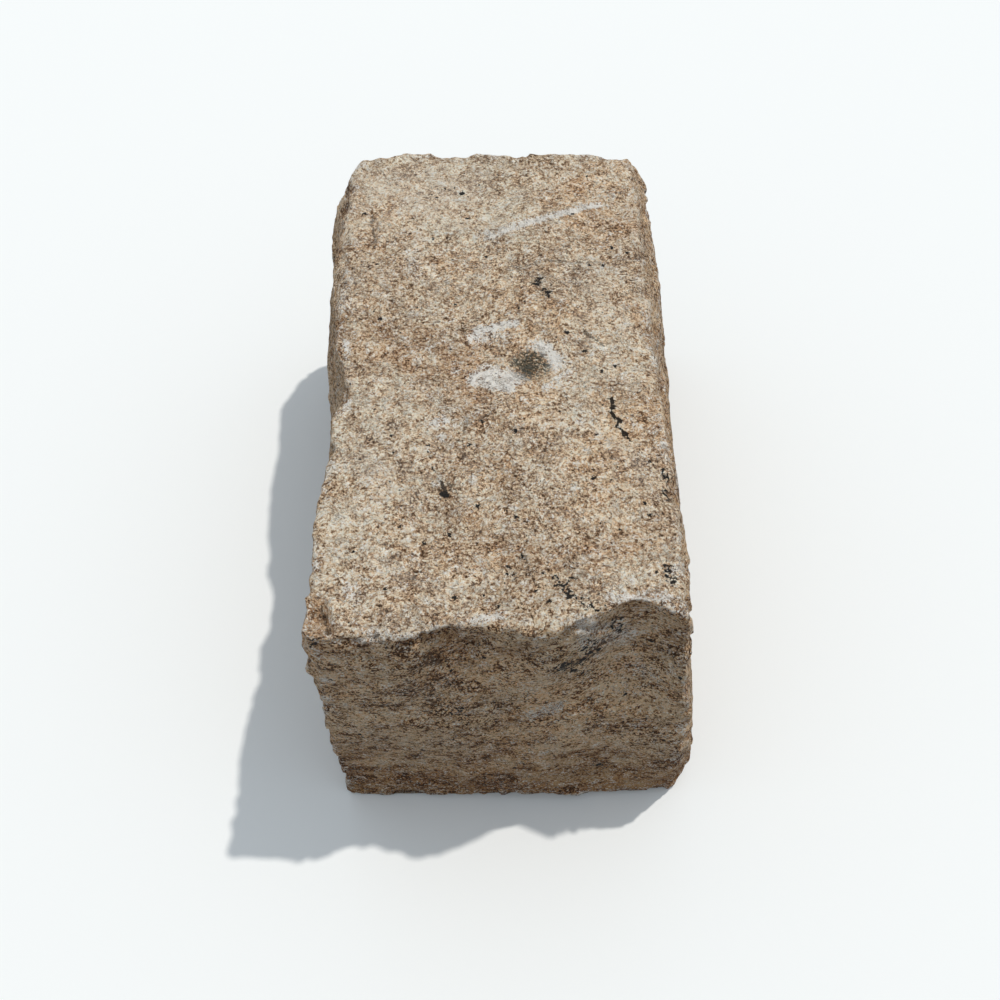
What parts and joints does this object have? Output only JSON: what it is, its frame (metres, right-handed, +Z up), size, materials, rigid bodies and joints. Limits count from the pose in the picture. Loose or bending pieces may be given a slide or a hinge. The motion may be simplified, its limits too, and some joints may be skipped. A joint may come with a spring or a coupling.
{
  "type": "granite belgian block",
  "caption": "Split granite paving block with rough swelling faces, bruised and spalled edges and a flat bed, for kerbs, edging, setts and steps.",
  "frame": {"origin": "centre of the block's footprint, on the plane of the bed that it rests on", "axes": "+Z up, square to the bed; +Y along the length, from the end nearest the viewer to the far end; +X across, to the viewer's right"},
  "size_m": [0.1528, 0.2604, 0.1272],
  "materials": {
    "granite": "rough"
  },
  "bodies": {
    "root": {"granite_block": "granite"}
  },
  "joints": []
}
